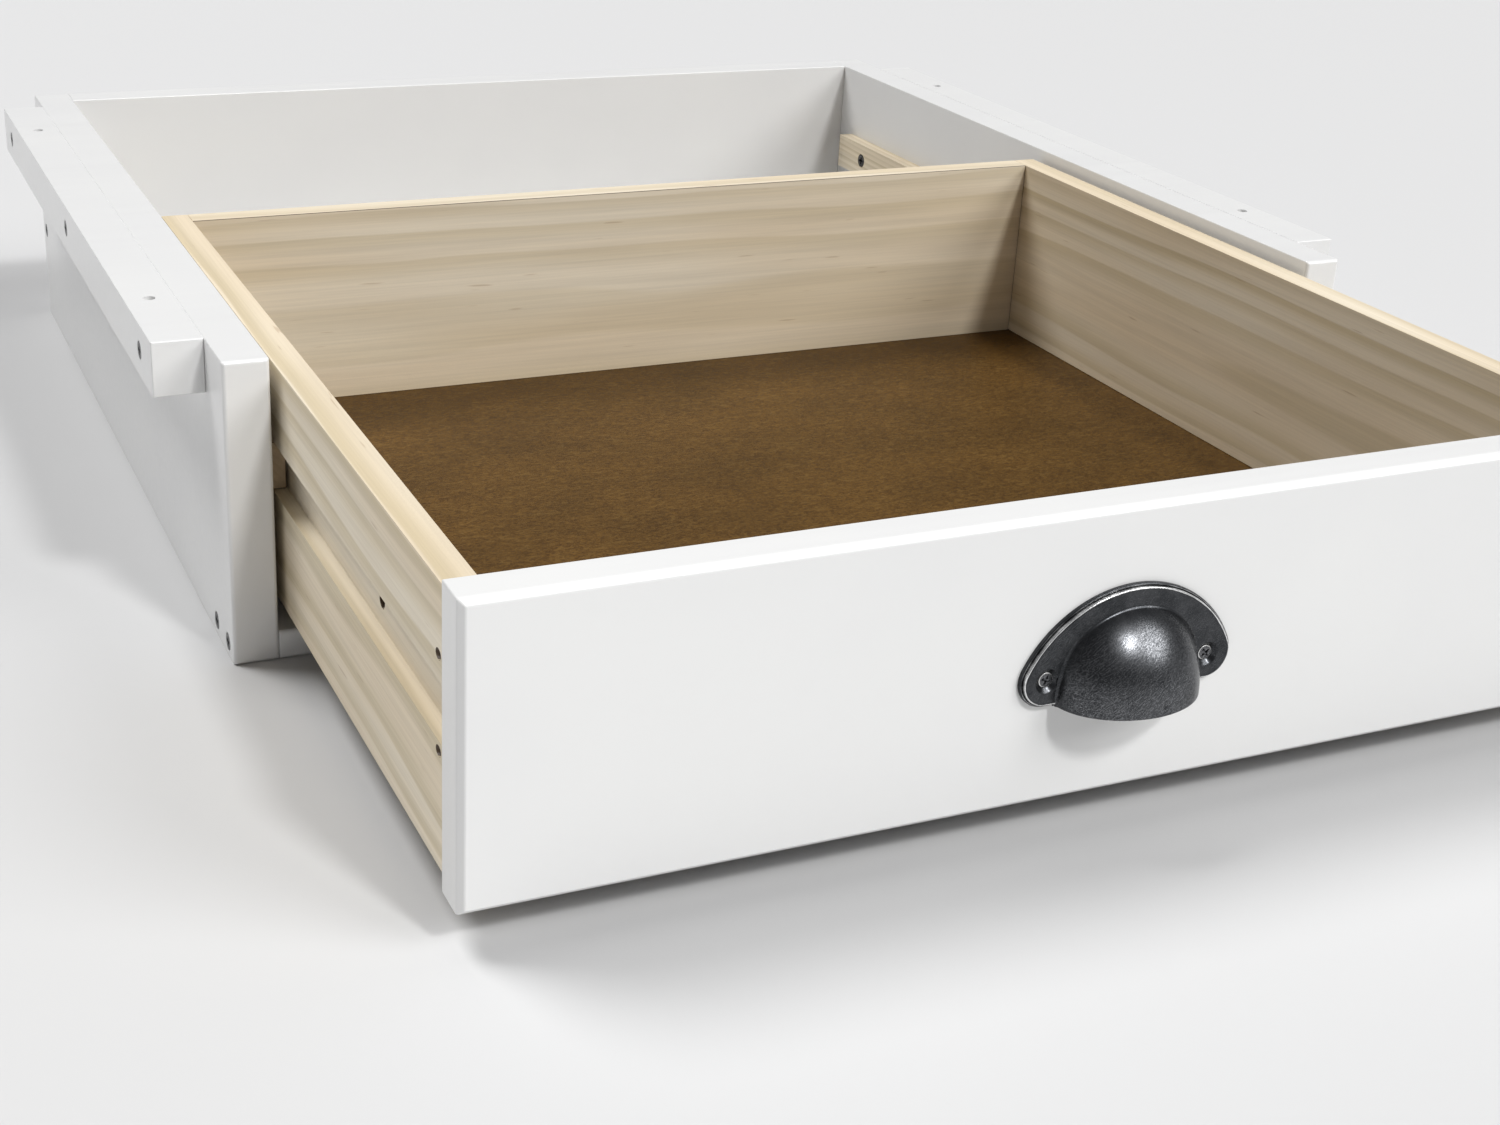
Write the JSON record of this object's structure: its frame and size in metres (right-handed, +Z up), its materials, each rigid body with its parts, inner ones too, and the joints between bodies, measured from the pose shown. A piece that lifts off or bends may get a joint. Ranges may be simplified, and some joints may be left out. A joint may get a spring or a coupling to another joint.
{
  "type": "under desk drawer",
  "caption": "Shallow wooden drawer with a white chamfered front and a dark cup pull, sliding on side runners in a bay frame that screws up under a desk.",
  "frame": {"origin": "middle of the four desk screw holes, on the plane that meets the desk's underside", "axes": "+X to the right seen from the front, +Y from the front to the back, +Z up into the desk; the drawer opens along -Y"},
  "size_m": [0.551, 0.706, 0.124],
  "materials": {
    "white_paint": "satin white paint on wood, smooth, with soft arrises",
    "pine": "planed raw pine with growth stripes along the board",
    "beech": "turned beech dowel",
    "hardboard": "brown raw hardboard with fine pressed fibres",
    "pull_metal": "antique dark metal, mottled and lightly brushed, semi gloss",
    "pull_screw_steel": "darkened steel cross recess screw",
    "screw_steel": "black phosphated steel"
  },
  "bodies": {
    "frame": {"back_rail": "white_paint", "cleat_screws_left": "screw_steel", "cleat_screws_right": "screw_steel", "desk_cleat_left": "white_paint", "desk_cleat_right": "white_paint", "front_rail": "white_paint", "rail_dowels_left": "beech", "rail_dowels_right": "beech", "rail_screws_left": "screw_steel", "rail_screws_right": "screw_steel", "runner_left": "pine", "runner_right": "pine", "runner_screws_left": "screw_steel", "runner_screws_right": "screw_steel", "side_rail_left": "white_paint", "side_rail_right": "white_paint"},
    "drawer": {"back_screws_left": "screw_steel", "back_screws_right": "screw_steel", "bottom_nails": "screw_steel", "cup_pull": "pull_metal", "drawer_back": "pine", "drawer_bottom": "hardboard", "drawer_front": "white_paint", "drawer_side_left": "pine", "drawer_side_right": "pine", "front_dowels_left": "beech", "front_dowels_right": "beech", "front_screws_left": "screw_steel", "front_screws_right": "screw_steel", "pull_screw_left": "pull_screw_steel", "pull_screw_right": "pull_screw_steel"}
  },
  "joints": [
    {"name": "drawer_slide", "type": "slide", "parent": "frame", "child": "drawer", "axis": [0, -1, 0], "range_m": [-0.215, 0.115]}
  ]
}
